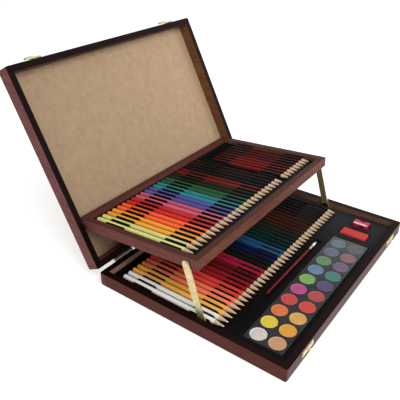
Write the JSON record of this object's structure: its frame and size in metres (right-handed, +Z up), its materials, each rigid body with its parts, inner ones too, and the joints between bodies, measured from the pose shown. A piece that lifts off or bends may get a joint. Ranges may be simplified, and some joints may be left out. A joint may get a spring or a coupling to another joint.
{
  "type": "wooden artist's pencil box with cantilever tray",
  "caption": "Open wooden artist's case with a hinged lid, a raised tray of coloured pencils on two arms, and paints, pencils, brush, eraser and sharpener in the base.",
  "frame": {"origin": "centre of the flat underside of the base", "axes": "+X to the right along the width, +Y to the hinge side, +Z up"},
  "size_m": [0.402, 0.4793, 0.3042],
  "materials": {
    "stained_wood": "satin stain",
    "hardboard": "bare",
    "black_moulding": "matte",
    "brass_fittings": "plated",
    "steel_pins": "plain",
    "pencil_wood": "gloss lacquer in many colours",
    "paint_cake": "dry pressed colour",
    "clear_cover": "clear",
    "red_lacquer": "gloss lacquer",
    "bristle": "fibre",
    "eraser_rubber": "matte",
    "sharpener_metal": "anodised",
    "blade_steel": "ground"
  },
  "bodies": {
    "base": {"base_front_wall": "stained_wood", "base_rear_wall": "stained_wood", "base_left_wall": "stained_wood", "base_right_wall": "stained_wood", "base_bottom_panel": "hardboard", "base_insert": "black_moulding", "hinge_left_base_leaf": "brass_fittings", "hinge_right_base_leaf": "brass_fittings", "hinge_pins": "steel_pins", "hinge_screws_base": "brass_fittings", "latch_left_base_plate": "brass_fittings", "latch_right_base_plate": "brass_fittings", "latch_knobs": "brass_fittings", "latch_screws_base": "brass_fittings", "arm_studs": "steel_pins"},
    "lid": {"lid_front_wall": "stained_wood", "lid_rear_wall": "stained_wood", "lid_left_wall": "stained_wood", "lid_right_wall": "stained_wood", "lid_panel": "hardboard", "lid_panel_brads": "steel_pins", "hinge_left_lid_leaf": "brass_fittings", "hinge_right_lid_leaf": "brass_fittings", "hinge_screws_lid": "brass_fittings", "latch_left_lid_plate": "brass_fittings", "latch_right_lid_plate": "brass_fittings", "latch_screws_lid": "brass_fittings", "latch_hasp_pins": "steel_pins", "tray_pivot_pins": "steel_pins"},
    "hasp_left": {"latch_left_hasp": "brass_fittings"},
    "hasp_right": {"latch_right_hasp": "brass_fittings"},
    "tray": {"tray_front_wall": "stained_wood", "tray_rear_wall": "stained_wood", "tray_left_wall": "stained_wood", "tray_right_wall": "stained_wood", "tray_bottom_panel": "hardboard", "tray_insert": "black_moulding", "arm_rivets": "steel_pins"},
    "arm_left": {"link_arm_left": "brass_fittings"},
    "arm_right": {"link_arm_right": "brass_fittings"},
    "lower_pencils": {"pencils_lower_1": "pencil_wood", "pencils_lower_2": "pencil_wood", "pencils_lower_3": "pencil_wood", "pencils_lower_4": "pencil_wood"},
    "upper_pencils": {"pencils_graphite": "pencil_wood", "pencils_upper_1": "pencil_wood", "pencils_upper_2": "pencil_wood", "pencils_upper_3": "pencil_wood"},
    "paint_set": {"paint_tray": "black_moulding", "paint_pans": "paint_cake", "paint_cover": "clear_cover"},
    "brush": {"brush_handle": "red_lacquer", "brush_ferrule": "steel_pins", "brush_bristles": "bristle"},
    "eraser": {"eraser": "eraser_rubber"},
    "sharpener": {"sharpener_body": "sharpener_metal", "sharpener_blade": "blade_steel"}
  },
  "joints": [
    {"name": "lid_hinge", "type": "hinge", "parent": "base", "child": "lid", "pos_m": [0, 0.1578, 0.023], "axis": [-1, 0, 0], "range_deg": [-116.8, 0]},
    {"name": "tray_pivot", "type": "hinge", "parent": "lid", "child": "tray", "pos_m": [0, 0.1971, 0.08482], "axis": [-1, 0, 0], "range_deg": [0, 112.4]},
    {"name": "arm_left_pivot", "type": "hinge", "parent": "tray", "child": "arm_left", "pos_m": [-0.189, 0.00396, 0.09794], "axis": [-1, 0, 0], "range_deg": [-93.1, 0]},
    {"name": "arm_right_pivot", "type": "hinge", "parent": "tray", "child": "arm_right", "pos_m": [0.189, 0.00396, 0.09794], "axis": [-1, 0, 0], "range_deg": [-93.1, 0]},
    {"name": "hasp_left_pivot", "type": "hinge", "parent": "lid", "child": "hasp_left", "pos_m": [-0.148, 0.303, 0.30268], "axis": [-1, 0, 0], "range_deg": [-162, 12]},
    {"name": "hasp_right_pivot", "type": "hinge", "parent": "lid", "child": "hasp_right", "pos_m": [0.148, 0.303, 0.30268], "axis": [-1, 0, 0], "range_deg": [-162, 12]},
    {"name": "lower_pencils_lift", "type": "slide", "parent": "base", "child": "lower_pencils", "axis": [0, 0, 1], "range_m": [0, 0.045]},
    {"name": "upper_pencils_lift", "type": "slide", "parent": "tray", "child": "upper_pencils", "axis": [0, 0.0783, 0.9969], "range_m": [0, 0.05]},
    {"name": "paint_set_lift", "type": "slide", "parent": "base", "child": "paint_set", "axis": [0, 0, 1], "range_m": [0, 0.03]},
    {"name": "brush_lift", "type": "slide", "parent": "base", "child": "brush", "axis": [0, 0, 1], "range_m": [0, 0.03]},
    {"name": "eraser_lift", "type": "slide", "parent": "base", "child": "eraser", "axis": [0, 0, 1], "range_m": [0, 0.03]},
    {"name": "sharpener_lift", "type": "slide", "parent": "base", "child": "sharpener", "axis": [0, 0, 1], "range_m": [0, 0.03]}
  ],
  "couplings": [
    {"joint": "tray_pivot", "follows": "lid_hinge", "ratio": -0.96156},
    {"joint": "arm_left_pivot", "follows": "lid_hinge", "ratio": 0.79649},
    {"joint": "arm_right_pivot", "follows": "lid_hinge", "ratio": 0.79649}
  ]
}
